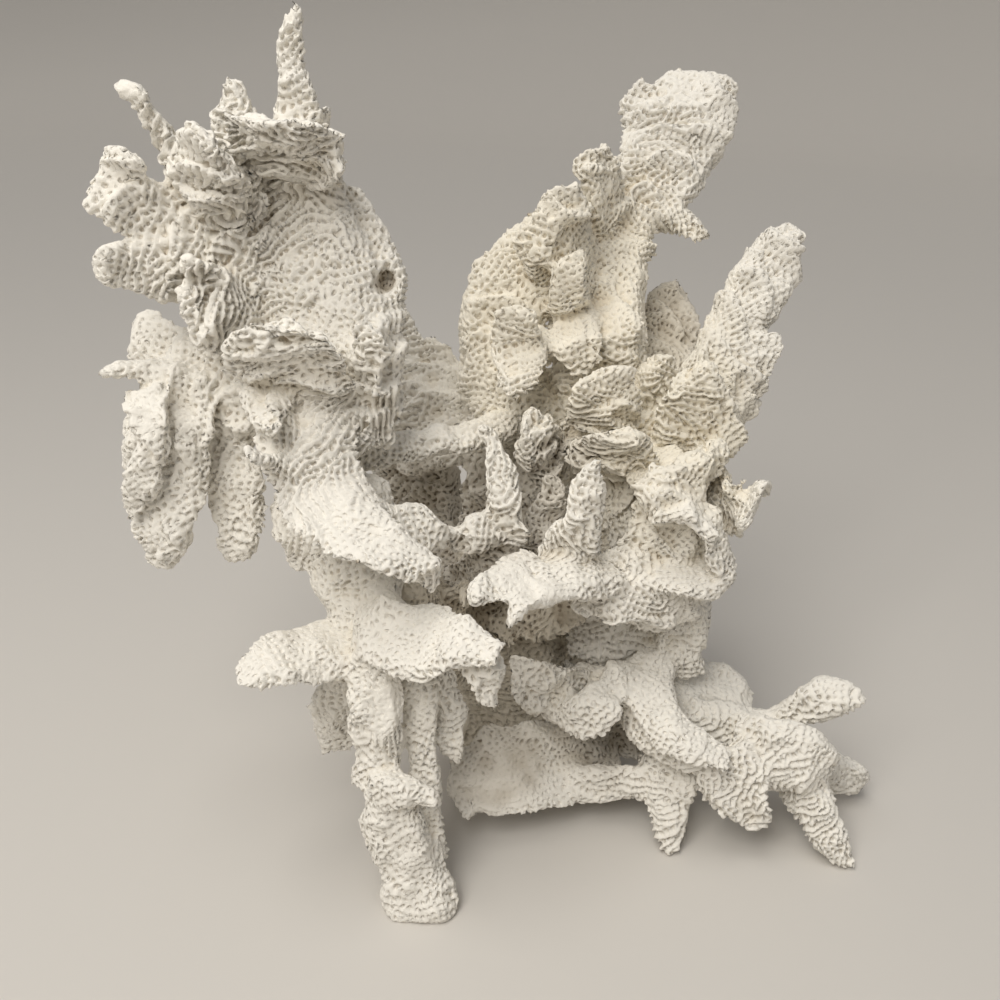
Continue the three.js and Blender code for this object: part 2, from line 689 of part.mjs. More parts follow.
const coral = new THREE.Group();
const fitted = [];
for (const [name, fronds] of Object.entries(pieces)) {
  const uncut = joined(fronds).trimByPlane([0, 0, 1], CUT_Z);
  const bored = name === "left_crown" ? uncut.subtract(rimHole()) : uncut;
  const clear = fitted.reduce((rest, earlier) => rest.subtract(earlier), bored);
  fitted.push(joined(fronds, GAP));
  const mesh = new THREE.Mesh(thinned(largestBody(clear)), name === "core" ? grey : white);
  mesh.name = name;
  coral.add(mesh);
}

export default coral;
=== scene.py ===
"""Looks for a bleached lettuce coral skeleton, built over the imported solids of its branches.

Each branch is rounded from a copy of its solid, its fronds are thinned towards their rims, and the rims
are ruffled and gnawed. The colony's skin of parallel ridges and cups is then carved into the mesh, so that
it follows every rim. Lengths are in millimetres unless a heading says otherwise.
"""

import json
import math

import bpy
import numpy as np
from mathutils import Matrix, Vector
from mathutils.bvhtree import BVHTree

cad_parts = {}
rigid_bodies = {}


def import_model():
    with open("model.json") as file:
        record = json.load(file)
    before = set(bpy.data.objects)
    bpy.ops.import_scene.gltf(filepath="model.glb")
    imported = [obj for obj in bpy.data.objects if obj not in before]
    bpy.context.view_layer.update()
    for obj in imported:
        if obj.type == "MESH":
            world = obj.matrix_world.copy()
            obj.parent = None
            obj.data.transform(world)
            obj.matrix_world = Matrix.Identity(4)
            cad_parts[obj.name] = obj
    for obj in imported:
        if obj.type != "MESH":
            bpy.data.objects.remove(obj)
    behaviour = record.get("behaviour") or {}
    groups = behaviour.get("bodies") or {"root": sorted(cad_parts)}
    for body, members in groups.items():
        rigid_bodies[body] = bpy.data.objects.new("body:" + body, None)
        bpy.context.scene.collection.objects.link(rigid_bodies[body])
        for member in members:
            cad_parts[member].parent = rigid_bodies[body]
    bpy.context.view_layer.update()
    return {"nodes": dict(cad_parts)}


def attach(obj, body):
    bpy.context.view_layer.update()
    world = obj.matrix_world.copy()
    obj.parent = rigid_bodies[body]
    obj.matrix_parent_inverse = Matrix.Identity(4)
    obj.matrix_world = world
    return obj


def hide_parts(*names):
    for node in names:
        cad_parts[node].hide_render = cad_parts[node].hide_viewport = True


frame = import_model()

MM = 0.001

# Where the camera stands: the coral's own height above the floor, looking down at it
CAMERA_AT = Vector((0, -380, 300)) * MM
CAMERA_PITCH = math.radians(25)
CAMERA_ROLL = math.radians(2.5)
CAMERA_LENS = 36.1
SENSOR_WIDTH = 36
NEAREST_SEEN = 10

# The studio, in metres
STUDIO_RADIUS = 4
STUDIO_HEIGHT = 2.4
STUDIO_SWEEP = 1.2
STUDIO_SIDES = 96
SWEEP_STEPS = 12
FLOOR_PALE = (0.68, 0.65, 0.605)
FLOOR_ROUGHNESS = 0.8
FLOOR_EDGE = math.radians(30)
LAMP_COLOUR = (1, 0.965, 0.91)
LAMP_FROM = (-0.25, -0.1, 1)
LAMP_ENERGY = 0.85
LAMP_WIDTH = math.radians(30)
PANEL_AT = (-0.3, -0.65, 0.85)
PANEL_SIZE = 0.5
PANEL_POWER = 5.4
SKY_COLOUR = (0.90, 0.91, 0.94, 1)
SKY_STRENGTH = 0.29

# The middle of the colony, from which its branches grew outwards
ROOT = (0, 10, 95)

# The grids on which the branches are rounded
FINE_GRID = 1.3
COARSE_GRID = 1.75
ROUNDING = 0.5
ROUNDING_STEPS = 5
MERGE_DISTANCE = 0.01
# Where a branch was cut back by another, its cut face is pushed into the other one
SEAM_REACH = 2.2
SEAM_PUSH = 4.0
FLOOR_CLEARANCE = 0.5

# How rims are found: rounds of averaging, and ranges of the spread of normals and the bend of the skin
BEND_ROUNDS = 8
NORMAL_ROUNDS = 9
RIM_ROUNDS = 2
RIM_SPREAD = (0.10, 0.50)
RIM_BEND = (0.0, 0.12)
FLAT_SPREAD = (0.2, 0.05)
FLAT_ROUNDS = 4
# How far a rim is felt, as a heat that spreads from it
HEAT_STEPS = 15
HEAT_ROUNDS = 8
LEVEL_ROUNDS = 10
LEAST_HEAT = 1e-4
HEAT_SOFTENING = 3
# The way in which the skin grew: towards a near rim, elsewhere outwards from the root
NEAR_RIM = (0.25, 0.9)
PULL_TO_RIM = 0.6
PULL_OUTWARD = 0.9
PULL_LOST_AT_RIM = 0.8
WAY_STEPS = 5
WAY_ROUNDS = 6

# How thick the fronds' blades are, and how they narrow towards their rims
BLADE_AT_RIM = 1.9
BLADE_INSIDE = 5.0
MOST_THINNING = 2.6
RAY_START = 0.05
THICKNESS_ROUNDS = 3
BLADE_ROUNDS = 25
BLADED = (0.55, 0.75)
THINNED_HEAT = (0.02, 0.3)
RIM_HEAT = (0.1, 0.9)
THINNING_ROUNDS = 2

# Rims
RIM_THINNING = 0.7
RIM_GROWTH = 1.4
RIM_GNAWING = 3.0
GNAW_LENGTH = 4.5
# Ruffles, drawn out along the growth so that they make pleats
RUFFLE_LENGTH = 15
RUFFLE_DEPTH = 4.2
SMALL_RUFFLE_LENGTH = 7.5
SMALL_RUFFLE_SHARE = 0.6
PLEAT_REACH = 110
PLEAT_SHORTENING = 0.3
STEADY_SWAY = 0.3
# Lumps
LUMP_LENGTH = 9
LUMP_HEIGHT = 0.8
SMALL_LUMP_LENGTH = 4.5
SMALL_LUMP_HEIGHT = 0.6
LUMP_LOST_AT_RIM = 0.6
# Ledges
LEDGE_SPACING = 13
LEDGE_UNEVENNESS = 0.35
LEDGE_PATCH = 30
LEDGE_BENDING = 0.5
LEDGE_BEND_LENGTH = 25
LEDGE_ROUNDS = 110
LEDGE_SHARPNESS = 3.0
LEDGE_HEIGHT = 3.2
LEDGE_LEAN = 3.2
LEDGE_BASE = 0.2
LEDGE_PLACES = 22
LEDGE_FADE = (-0.5, 0.5)
FAINT_LEDGES = 0.3
RUFFLE_FOOTING = (0.2, 6)

# The small hole near the right rim of the left crown: open in front, closed behind
RIM_HOLE = (-43, -30, 220)
HOLE_REACH = (9, 2)
HOLE_OPENING = 0.8
HOLE_DEPTH = 1.5
HOLE_CLOSING = 3.2
HOLE_STILLNESS = (1, 0.3)
# Where the hole's closed bottom is left flat and painted dark, as painted shade of a deep hole
HOLE_BOTTOM = (0.72, 0.9)

# The skin's rows of ridges, and the cups between them
RIDGE_SPACING = 2.9
CUP_SPACING = 2.6
SPACING_UNEVENNESS = 0.28
SPACING_PATCH = 9
RIDGE_BENDING = 1.5
RIDGE_BEND_LENGTH = 8
RIDGE_ROUNDS = 50
CUP_ROUNDS = 26
RIDGE_WOBBLE = 1.9
WOBBLE_LENGTH = 4
RIDGE_SHARPNESS = 1.6
CUP_SHARPNESS = 1.4
# Where the skin is ribbed instead of pitted: in patches, and most on undersides
RIBBED_BASE = 0.1
RIBBED_PATCHES = 0.7
RIBBED_LENGTH = 22
RIBBED_BELOW = 0.5
UNDERSIDE = (0.3, -0.5)
MESHING_LOST = 0.6
# How deep the skin is carved
RELIEF = 2.0
RELIEF_BASE = 0.6
RELIEF_RIBBED = 0.55
RELIEF_PATCHES = 0.4
RELIEF_LENGTH = 12
RELIEF_MIDDLE = 0.55
RELIEF_LOST_AT_RIM = 0.6
RELIEF_LOST_BY_WEAR = 0.72
LEAN = 0.9
LEAN_MIDDLE = 0.5
TEETH = 1.4
TEETH_MIDDLE = 0.4
GRAIN_LENGTH = 1.5
GRAIN_HEIGHT = 0.2
SKIN_FOOTING = (0.1, 2.5)
# Upper faces are worn smoother
WORN_ON_TOP = 0.75
TOP_SIDE = (0.3, 0.85)
WEAR_UNEVENNESS = 0.3
WEAR_LENGTH = 14
# What the material is told of each place. Hollows are darkened as painted shade, and stains are made
# stronger there as painted shade too
HOLLOW_ROUNDS = 60
STAIN_AND_SHADE_BASE = 0.55
STAIN_AND_SHADE_HOLLOW = (-0.5, 0.8)
BARE_RIM = (0.25, 0.75)
HOLLOW_RANGE = (-0.3, 1.6)

# How a field of stripes settles
LEAST_PULL = 0.06
KEPT_SHARE = 0.5
EVENED_EVERY = 8
EVENING = 0.7

# Where each place's own noise starts
SEEDS = {
    "sway": 3,
    "small_sway": 5,
    "lump": 11,
    "small_lump": 15,
    "gnawing": 23,
    "ridge_bending": 31,
    "spacing": 41,
    "wobble": 43,
    "ledge_spacing": 45,
    "ledge_bending": 47,
    "ledge_places": 49,
    "ribbing": 53,
    "grain": 61,
    "relief": 71,
    "wear": 73,
    "wander": 91,
}
FIRST_BRANCH_SEED = 100
BRANCH_SEED_STEP = 7

# Places where the skin is worn smooth: the middle of each, and how far it reaches
WORN_PLACES = [
    ((-34, -91, 86), 16),
    ((7, -61, 28), 26),
    ((-56, -80, 158), 14),
    ((15, -75, 127), 18),
]
# Places darkened to old grey and brown: the colony's middle as old, stained skin, and cavities and shaded
# places, such as the low plate under the right arm and the sheet seen through the rim's hole, as painted
# shade
STAINED_AND_SHADED_PLACES = [
    ((70, 43, 192), 26),
    ((-9, -50, 106), 34),
    ((-5, -10, 100), 62),
    ((-36, 28, 118), 36),
    ((17, -20, 146), 26),
    ((26, -35, 86), 30),
    ((-51, 43, 203), 15),
    ((4, -58, 38), 32),
    ((47, -38, 34), 28),
]
# Where the coral is yellower
WARM_PLACES = [((25, 20, 200), 85), ((60, -10, 160), 60)]
# The borders of all these places wander, and each place fades from a share of its reach outwards
WANDER_LENGTH = 14
WANDER = 6
PLACE_MIDDLE = 0.4

# The branches in the order in which the solids were fitted: each was cut back by the ones before it
BRANCHES = [
    "core",
    "left_neck",
    "left_crown",
    "front_leg",
    "right_arm",
    "right_crown",
    "left_lobes",
    "front_tongue",
    "right_shelf",
    "right_fold",
    "right_cluster",
    "right_finger",
    "centre_arch",
    "centre_finger",
    "back_branch",
    "back_foot",
]
COARSE_BRANCHES = {"core", "back_branch", "back_foot"}
# Branches whose sheets carry strong ledges
LEDGED_BRANCHES = {
    "left_crown",
    "right_crown",
    "left_lobes",
    "right_fold",
    "right_cluster",
    "right_finger",
    "back_branch",
}
# Branches too large for one mesh: each is parted across the middle of its longest side
PARTED_BRANCHES = {"left_crown", "right_arm", "right_crown"}

# Colours
CHALK = (0.93, 0.895, 0.82)
WARM_CHALK = (0.92, 0.865, 0.745)
CREAM = (0.86, 0.80, 0.685)
STRAW = (0.84, 0.745, 0.58)
# The pits' brown is painted shade in the bottoms of the cups; the old greys below are old, stained skin
# and also painted shade in cavities
PIT_SHADE_BROWN = (0.44, 0.35, 0.235)
OLD_AND_SHADED_GREY = (0.40, 0.34, 0.255)
OLD_AND_SHADED_PIT = (0.15, 0.115, 0.075)
CORAL_ROUGHNESS = 0.9
CORAL_SHINE = 0.25

# The material's own noise and pits: how many of each to a metre, and how much detail
PATCH_NOISE = {"Scale": 28.0, "Detail": 3.0}
GRAIN_NOISE = {"Scale": 800.0, "Detail": 4.0}
BENDING_NOISE = {"Scale": 260.0, "Detail": 2.0}
PITS_PER_METRE = 330
PIT_BENDING = 0.0016
# Depths of the bumps that the material draws, in metres
WALL_BUMP = {"Strength": 0.9, "Distance": 0.0012}
GRAIN_BUMP = {"Strength": 0.55, "Distance": 0.0008}
RIDGE_BUMP = 0.9
# Pits: the bottoms of the carved cups, and smaller round ones. Worn and bare skin has few of either.
CUP_PIT_GAIN = 1.7
CUP_PIT_START = 0.62
CUP_PIT_BASE = 0.3
CUP_PIT_GRAIN = 0.9
SMALL_PIT_RADIUS = 0.25
SMALL_PIT_GAIN = 4
SMALL_PIT_SHARE = 0.7
CALM_WHERE_WORN = 0.9
CALM_WHERE_BARE = 0.85
# How much of each colour shows: the flank's under the crests, spread by pits and hollows as painted shade
# and by patches as the coral's own tone; the pits' brown, which is painted shade; and the old skin's grey,
# partly real stains and partly painted shade
PATCH_MIDDLE = 0.5
FLANK_PITS = 0.3
FLANK_HOLLOWS = 0.9
FLANK_PATCHES = 0.9
FLANK_START = 0.2
PIT_SHADE_BASE = 0.25
PIT_SHADE_HOLLOWS = 0.6
PIT_SHADE_PATCHES = 0.3
AGED_AND_SHADED_BASE = 0.6
AGED_AND_SHADED_PITS = 0.5
MOST_AGED_AND_SHADED = 0.95
OLD_AND_SHADED_PITS = 1.2


def select_only(piece):
    bpy.ops.object.select_all(action="DESELECT")
    piece.select_set(True)
    bpy.context.view_layer.objects.active = piece


def modify(piece, kind, **settings):
    """Adds a modifier to the piece and applies it."""
    select_only(piece)
    added = piece.modifiers.new(kind.lower(), kind)
    for name, value in settings.items():
        setattr(added, name, value)
    bpy.ops.object.modifier_apply(modifier=added.name)


def merged_copy(node, name):
    """A copy of a CAD node as one closed skin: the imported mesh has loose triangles."""
    piece = node.copy()
    piece.data = node.data.copy()
    piece.name = name
    piece.parent = None
    for key in list(piece.keys()):
        del piece[key]
    bpy.context.scene.collection.objects.link(piece)
    select_only(piece)
    bpy.ops.object.mode_set(mode="EDIT")
    bpy.ops.mesh.select_all(action="SELECT")
    bpy.ops.mesh.remove_doubles(threshold=MERGE_DISTANCE * MM)
    bpy.ops.object.mode_set(mode="OBJECT")
    return piece


def points_of(mesh):
    """The mesh's points, in millimetres."""
    co = np.empty(len(mesh.vertices) * 3, np.float32)
    mesh.vertices.foreach_get("co", co)
    return co.reshape(-1, 3).astype(float) / MM


def set_points(mesh, points):
    """Puts the mesh's points at these places, none of them below the floor."""
    points[:, 2] = np.maximum(points[:, 2], 0)
    mesh.vertices.foreach_set("co", (points * MM).astype(np.float32).ravel())
    mesh.update()


def normals_of(mesh):
    normals = np.empty(len(mesh.vertices) * 3, np.float32)
    mesh.vertex_normals.foreach_get("vector", normals)
    return normals.reshape(-1, 3).astype(float)


def unit(v):
    return v / np.maximum(np.linalg.norm(v, axis=-1, keepdims=True), 1e-12)


class Net:
    """The edges of a mesh, for averaging values over neighbouring vertices."""

    def __init__(self, mesh):
        ends = np.empty(len(mesh.edges) * 2, np.int32)
        mesh.edges.foreach_get("vertices", ends)
        self.a, self.b = ends.reshape(-1, 2).T
        self.count = len(mesh.vertices)
        starts = np.bincount(self.a, minlength=self.count)
        self.degree = starts + np.bincount(self.b, minlength=self.count)

    def gather(self, to_a, to_b):
        """The sum at each vertex of what its edges bring to their first and second ends."""
        total = np.bincount(self.a, to_a, self.count)
        return total + np.bincount(self.b, to_b, self.count)

    def spread(self, value, rounds, keep=1.0):
        """Averages a value, or each column of it, over the neighbours again and again."""
        value = np.array(value, float)
        if value.ndim == 2:
            columns = [self.spread(column, rounds, keep) for column in value.T]
            return np.stack(columns, 1)
        for _ in range(rounds):
            near = self.gather(value[self.b], value[self.a])
            value = (keep * value + near) / (keep + self.degree)
        return value

    def waves(self, points, along, spacing, rounds, seed, stretch=None):
        """A field of stripes on the skin, as an angle at each vertex.

        The stripes lie square to along and are spacing apart. Each vertex takes its angle from its
        neighbours, moved on by the distance between them.
        """
        step = points[self.a] - points[self.b]
        way = (along[self.a] + along[self.b]) / 2
        pace = (spacing[self.a] + spacing[self.b]) / 2
        turn = np.exp(2j * math.pi * (step * way).sum(1) / pace)
        pull = np.ones(len(step))
        if stretch is not None:
            across = np.abs((unit(step) * unit(stretch[self.a])).sum(1))
            pull = LEAST_PULL + np.clip(1 - across, 0, 1) ** 2
        random = np.random.default_rng(seed)
        field = np.exp(2j * math.pi * random.random(self.count))
        weight = self.gather(pull, pull)
        for i in range(rounds):
            to_a = field[self.b] * turn * pull
            to_b = field[self.a] * np.conj(turn) * pull
            real = self.gather(to_a.real, to_b.real)
            near = real + 1j * self.gather(to_a.imag, to_b.imag)
            field = (KEPT_SHARE * field + near / weight) / (KEPT_SHARE + 1)
            if i % EVENED_EVERY == EVENED_EVERY - 1:
                field = field / np.maximum(np.abs(field), 1e-9) ** EVENING
        return np.angle(field)


def hashed(cell, seed):
    """A number from 0 to 1 for each lattice point: large odd numbers stir the bits."""
    n = cell[..., 0] * 374761393 + cell[..., 1] * 668265263 + cell[..., 2] * 2147483647
    n = (n + seed * 974634777) & 0xFFFFFFFF
    n = ((n ^ (n >> 13)) * 1274126177) & 0xFFFFFFFF
    n = ((n ^ (n >> 16)) * 2246822519) & 0xFFFFFFFF
    return ((n ^ (n >> 15)) & 0xFFFFFF) / float(0xFFFFFF)


def noise(points, length, seed):
    """Smooth noise from -1 to 1 whose lumps are about length across."""
    place = points / length
    cell = np.floor(place).astype(np.int64)
    part = place - cell
    part = part * part * part * (part * (part * 6 - 15) + 10)
    total = np.zeros(len(points))
    for corner in range(8):
        offset = np.array([corner & 1, corner >> 1 & 1, corner >> 2 & 1])
        share = np.where(offset, part, 1 - part).prod(1)
        total += share * hashed(cell + offset, seed)
    return 2 * total - 1


def noise_vector(points, length, seed):
    return np.stack([noise(points, length, seed + 17 * i) for i in range(3)], 1)


def pleated(points):
    """Places for noise that is drawn out along the colony's growth, so that it makes pleats."""
    from_root = points - np.array(ROOT)
    return unit(from_root) * PLEAT_REACH + from_root * PLEAT_SHORTENING


def smooth_step(ends, value):
    """Goes smoothly from 0 at the first end of the range to 1 at the second."""
    low, high = ends
    t = np.clip((value - low) / (high - low), 0, 1)
    return t * t * (3 - 2 * t)


def store(mesh, name, values):
    kind = "FLOAT_VECTOR" if values.ndim == 2 else "FLOAT"
    layer = mesh.attributes.get(name) or mesh.attributes.new(name, kind, "POINT")
    key = "vector" if values.ndim == 2 else "value"
    layer.data.foreach_set(key, values.astype(np.float32).ravel())


def read(mesh, name, width=1):
    data = np.empty(len(mesh.vertices) * width, np.float32)
    mesh.attributes[name].data.foreach_get("vector" if width == 3 else "value", data)
    return data.reshape(-1, width).astype(float) if width > 1 else data.astype(float)


def skin_tree(pieces):
    """One search tree over the skins of several pieces, in millimetres."""
    corners, faces = [], []
    for piece in pieces:
        start = len(corners)
        corners += [v.co / MM for v in piece.data.vertices]
        faces += [[start + i for i in p.vertices] for p in piece.data.polygons]
    return BVHTree.FromPolygons(corners, faces)


def sink_seams(piece, earlier):
    """Pushes the faces where this branch was cut back into the branch that cut it, to hide the groove."""
    if not earlier:
        return
    tree = skin_tree(earlier)
    points = points_of(piece.data)
    for i, point in enumerate(points):
        place, normal, _, distance = tree.find_nearest(Vector(point))
        if distance is not None and distance < SEAM_REACH and point[2] > FLOOR_CLEARANCE:
            points[i] -= np.array(normal) * SEAM_PUSH
    set_points(piece.data, points)


def turned_flat(vectors, normals):
    """The vectors laid into the skin and made one long."""
    return unit(vectors - normals * (vectors * normals).sum(1)[:, None])


def find_rims(piece):
    """Stores how near each vertex is to a rim, and the way in which the skin grew there."""
    mesh = piece.data
    net = Net(mesh)
    points = points_of(mesh)
    normals = normals_of(mesh)
    bend = ((points - net.spread(points, 1, 0)) * normals).sum(1)
    bend = net.spread(bend, BEND_ROUNDS)
    mean_normal = net.spread(normals, NORMAL_ROUNDS)
    spread = 1 - np.linalg.norm(mean_normal, axis=1)
    rim = smooth_step(RIM_SPREAD, spread) * smooth_step(RIM_BEND, bend)
    rim = net.spread(rim, RIM_ROUNDS)
    heat = rim.copy()
    for _ in range(HEAT_STEPS):
        heat = np.maximum(net.spread(heat, HEAT_ROUNDS), rim)
    level = net.spread(np.log(heat + LEAST_HEAT), LEVEL_ROUNDS)
    step = points[net.b] - points[net.a]
    rise = (level[net.b] - level[net.a]) / np.maximum((step**2).sum(1), 1e-6)
    uphill = [net.gather(step[:, i] * rise, step[:, i] * rise) for i in range(3)]
    to_rim = turned_flat(np.stack(uphill, 1), normals)
    outward = turned_flat(points - np.array(ROOT), normals)
    near = smooth_step(NEAR_RIM, heat)[:, None]
    way = to_rim * (PULL_TO_RIM + near)
    way = way + outward * (PULL_OUTWARD - PULL_LOST_AT_RIM * near)
    for _ in range(WAY_STEPS):
        way = turned_flat(net.spread(way, WAY_ROUNDS), normals)
    store(mesh, "rim", rim)
    store(mesh, "heat", net.spread(heat, HEAT_SOFTENING))
    store(mesh, "way", way)
    store(mesh, "edge", unit(mean_normal))
    store(mesh, "flat", net.spread(smooth_step(FLAT_SPREAD, spread), FLAT_ROUNDS))


def nearness(points, places):
    """How near each point is to any of the places: 1 at the middle of a place, 0 outside it."""
    near = np.zeros(len(points))
    wander = noise_vector(points, WANDER_LENGTH, SEEDS["wander"]) * WANDER
    for middle, reach in places:
        away = np.linalg.norm(points + wander - np.array(middle), axis=1)
        near = np.maximum(near, smooth_step((reach, reach * PLACE_MIDDLE), away))
    return near


def hole_at(points):
    """The way out from the middle of the rim's small hole, and how near each point is, from 0 to 1."""
    away = points - np.array(RIM_HOLE)
    away[:, 1] = 0
    distance = np.linalg.norm(away, axis=1)
    return unit(away), smooth_step(HOLE_REACH, distance)


def blade_thinning(piece, net, normals, heat):
    """How far each side of a blade moves in, so that it narrows towards its rim. Fingers stay round."""
    tree = BVHTree.FromObject(piece, bpy.context.evaluated_depsgraph_get())
    through = np.empty(net.count)
    for i, vertex in enumerate(piece.data.vertices):
        inward = -vertex.normal
        hit = tree.ray_cast(vertex.co + inward * (RAY_START * MM), inward)
        through[i] = hit[3] / MM if hit[3] else 2 * BLADE_INSIDE
    through = net.spread(np.minimum(through, 2 * BLADE_INSIDE), THICKNESS_ROUNDS)
    pairs = [(0, 0), (0, 1), (0, 2), (1, 1), (1, 2), (2, 2)]
    bladed = np.zeros(net.count)
    for i, j in pairs:
        product = normals[:, i] * normals[:, j]
        bladed += product * net.spread(product, BLADE_ROUNDS) * (1 if i == j else 2)
    narrowing = (BLADE_AT_RIM - BLADE_INSIDE) * smooth_step(RIM_HEAT, heat)
    moved = ((through - (BLADE_INSIDE + narrowing)) / 2).clip(0, MOST_THINNING)
    moved *= smooth_step(BLADED, bladed) * smooth_step(THINNED_HEAT, heat)
    return net.spread(moved, THINNING_ROUNDS)


def ledges(net, points, normals, way, flat, seed):
    """Ledges that step across the sheets, from 0 between them to 1 on their crests."""
    uneven = noise(points, LEDGE_PATCH, SEEDS["ledge_spacing"])
    pace = LEDGE_SPACING * (1 + LEDGE_UNEVENNESS * uneven)
    bending = noise_vector(points, LEDGE_BEND_LENGTH, SEEDS["ledge_bending"])
    bent = turned_flat(way + LEDGE_BENDING * bending, normals)
    terraces = net.waves(points, bent, pace, LEDGE_ROUNDS, seed)
    ledge = (0.5 + 0.5 * np.cos(terraces)) ** LEDGE_SHARPNESS
    ledge *= smooth_step(LEDGE_FADE, noise(points, LEDGE_PLACES, SEEDS["ledge_places"]))
    return ledge * flat


def ruffle(piece, seed, ledged):
    """Thins the rims, waves them out of the plane of the fronds, and raises ledges and lumps."""
    mesh = piece.data
    net = Net(mesh)
    points = points_of(mesh)
    normals = normals_of(mesh)
    rim = read(mesh, "rim")[:, None]
    heat = read(mesh, "heat")[:, None]
    edge = read(mesh, "edge", 3)
    way = read(mesh, "way", 3)
    footing = smooth_step(RUFFLE_FOOTING, points[:, 2])[:, None]
    facing = (normals * edge).sum(1)[:, None]
    flanks = normals - edge * facing
    moved = -flanks * rim * RIM_THINNING
    thinning = blade_thinning(piece, net, normals, heat[:, 0])[:, None]
    moved -= normals * (thinning * (1 - rim * facing.clip(0)))
    gnaw = noise(points, GNAW_LENGTH, SEEDS["gnawing"])[:, None]
    moved += edge * rim * facing.clip(0) * (RIM_GROWTH + RIM_GNAWING * gnaw)
    sway = noise_vector(pleated(points), RUFFLE_LENGTH, SEEDS["sway"])
    small_sway = noise_vector(points, SMALL_RUFFLE_LENGTH, SEEDS["small_sway"])
    sway = (sway + small_sway * SMALL_RUFFLE_SHARE) * RUFFLE_DEPTH
    moved += sway * (STEADY_SWAY + (1 - STEADY_SWAY) * heat)
    lump = noise(points, LUMP_LENGTH, SEEDS["lump"])[:, None] * LUMP_HEIGHT
    small_lump = noise(points, SMALL_LUMP_LENGTH, SEEDS["small_lump"])[:, None]
    lump += small_lump * SMALL_LUMP_HEIGHT
    ledge = ledges(net, points, normals, way, read(mesh, "flat"), seed + 2)[:, None]
    ledge *= 1 if ledged else FAINT_LEDGES
    moved += normals * (lump * (1 - LUMP_LOST_AT_RIM * rim))
    moved += normals * ((ledge - LEDGE_BASE) * LEDGE_HEIGHT)
    moved += way * ledge * LEDGE_LEAN
    from_hole, opened = hole_at(points)
    points = points + moved * footing * smooth_step(HOLE_STILLNESS, opened)[:, None]
    behind = points[:, 1] > RIM_HOLE[1] + HOLE_DEPTH
    near_hole = np.linalg.norm((points - np.array(RIM_HOLE))[:, [0, 2]], axis=1)
    closing = np.where(near_hole < HOLE_CLOSING, near_hole, 0)
    points += from_hole * np.where(behind, -closing, opened * HOLE_OPENING)[:, None]
    set_points(mesh, points)


def carve_skin(piece, seed):
    """Carves the ridges and the rows of cups between them into the skin."""
    mesh = piece.data
    net = Net(mesh)
    points = points_of(mesh)
    normals = normals_of(mesh)
    rim = np.clip(read(mesh, "rim"), 0, 1)
    bending = noise_vector(points, RIDGE_BEND_LENGTH, SEEDS["ridge_bending"])
    way = turned_flat(read(mesh, "way", 3) + RIDGE_BENDING * bending, normals)
    side = np.cross(normals, way)
    pace = 1 + SPACING_UNEVENNESS * noise(points, SPACING_PATCH, SEEDS["spacing"])
    rows = net.waves(points, way, RIDGE_SPACING * pace, RIDGE_ROUNDS, seed)
    cups = net.waves(points, side, CUP_SPACING * pace, CUP_ROUNDS, seed + 1, way)
    rows = rows + RIDGE_WOBBLE * noise(points, WOBBLE_LENGTH, SEEDS["wobble"])
    row_wave = 0.5 + 0.5 * np.cos(rows)
    cup_wave = 0.5 + 0.5 * np.cos(cups)

    ribbing = RIBBED_BASE + RIBBED_PATCHES * noise(points, RIBBED_LENGTH, SEEDS["ribbing"])
    ribbing += RIBBED_BELOW * smooth_step(UNDERSIDE, normals[:, 2])
    ribbing = np.clip(ribbing, 0, 1)
    meshing = 1 - MESHING_LOST * ribbing
    between = 1 - meshing * cup_wave**CUP_SHARPNESS
    height = 1 - (1 - row_wave**RIDGE_SHARPNESS) * between

    upward = normals[:, 2] + WEAR_UNEVENNESS * noise(points, WEAR_LENGTH, SEEDS["wear"])
    worn_places = nearness(points, WORN_PLACES)
    worn = np.maximum(worn_places, WORN_ON_TOP * smooth_step(TOP_SIDE, upward))
    strength = RELIEF_PATCHES * noise(points, RELIEF_LENGTH, SEEDS["relief"])
    strength = RELIEF * (RELIEF_BASE + RELIEF_RIBBED * ribbing + strength)
    strength *= 1 - RELIEF_LOST_BY_WEAR * worn
    hole = smooth_step(HOLE_BOTTOM, hole_at(points)[1])
    footing = smooth_step(SKIN_FOOTING, points[:, 2]) * (1 - hole)
    amount = strength * (height - RELIEF_MIDDLE) * footing * (1 - RELIEF_LOST_AT_RIM * rim)
    grain = GRAIN_HEIGHT * noise(points, GRAIN_LENGTH, SEEDS["grain"])
    # How far the skin lies below the mean of its neighbourhood: the material darkens these hollows as
    # painted shade
    hollow = ((net.spread(points, HOLLOW_ROUNDS) - points) * normals).sum(1)
    points = points + normals * (amount + grain)[:, None]
    points += way * (LEAN * (height - LEAN_MIDDLE) * footing)[:, None]
    points += way * (TEETH * rim * (cup_wave**2 - TEETH_MIDDLE) * footing)[:, None]
    set_points(mesh, points)

    # Old stains and painted shade: some listed places darken as old skin, others as painted shade; the
    # hole's closed bottom is painted dark as the shade of a deep hole; all of it grows stronger in hollows
    # as painted shade
    stain_and_shade = np.maximum(nearness(points, STAINED_AND_SHADED_PLACES), hole)
    stain_and_shade *= STAIN_AND_SHADE_BASE + (1 - STAIN_AND_SHADE_BASE) * smooth_step(STAIN_AND_SHADE_HOLLOW, hollow)
    store(mesh, "skin", np.stack([row_wave, cup_wave, meshing], 1))
    store(mesh, "bare", smooth_step(BARE_RIM, rim))
    store(mesh, "age_and_shade", np.stack([stain_and_shade, worn, smooth_step(HOLLOW_RANGE, hollow)], 1))
    store(mesh, "warmth", nearness(points, WARM_PLACES))
    for name in ("way", "edge", "heat", "rim", "flat"):
        mesh.attributes.remove(mesh.attributes[name])


